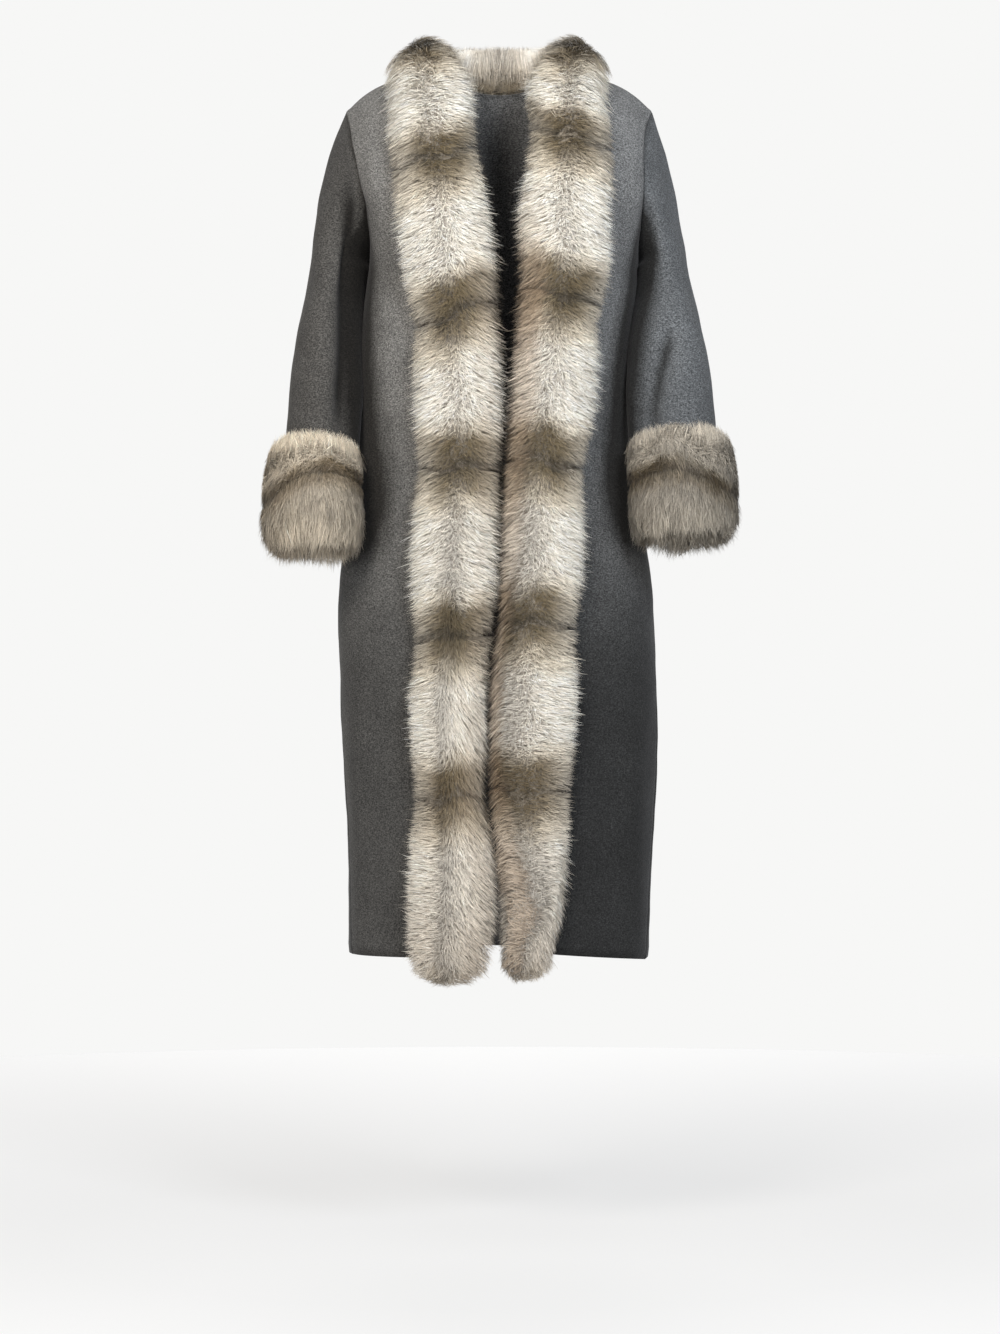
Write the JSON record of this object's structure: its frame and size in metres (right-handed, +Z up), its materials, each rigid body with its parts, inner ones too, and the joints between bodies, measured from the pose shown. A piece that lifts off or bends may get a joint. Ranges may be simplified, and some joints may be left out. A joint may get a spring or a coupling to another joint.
{
  "type": "fur-trimmed wool coat",
  "caption": "Long straight open wool coat in the form it has when worn, with fur down both fronts, a fur collar and deep fur cuffs.",
  "frame": {"origin": "middle of the neck base at shoulder height, where the wearer's shoulders hold the coat up", "axes": "+Z up, the fronts face -Y, +X towards the wearer's left"},
  "size_m": [0.6159, 0.3446, 1.2344],
  "materials": {
    "wool": "felted, soft nap",
    "fur": "long soft hair"
  },
  "bodies": {
    "root": {"back": "wool", "front_right": "wool", "front_left": "wool", "sleeve_right": "wool", "sleeve_left": "wool", "fur_front_right": "fur", "fur_front_left": "fur", "fur_collar": "fur", "fur_cuff_right": "fur", "fur_cuff_left": "fur"}
  },
  "joints": []
}
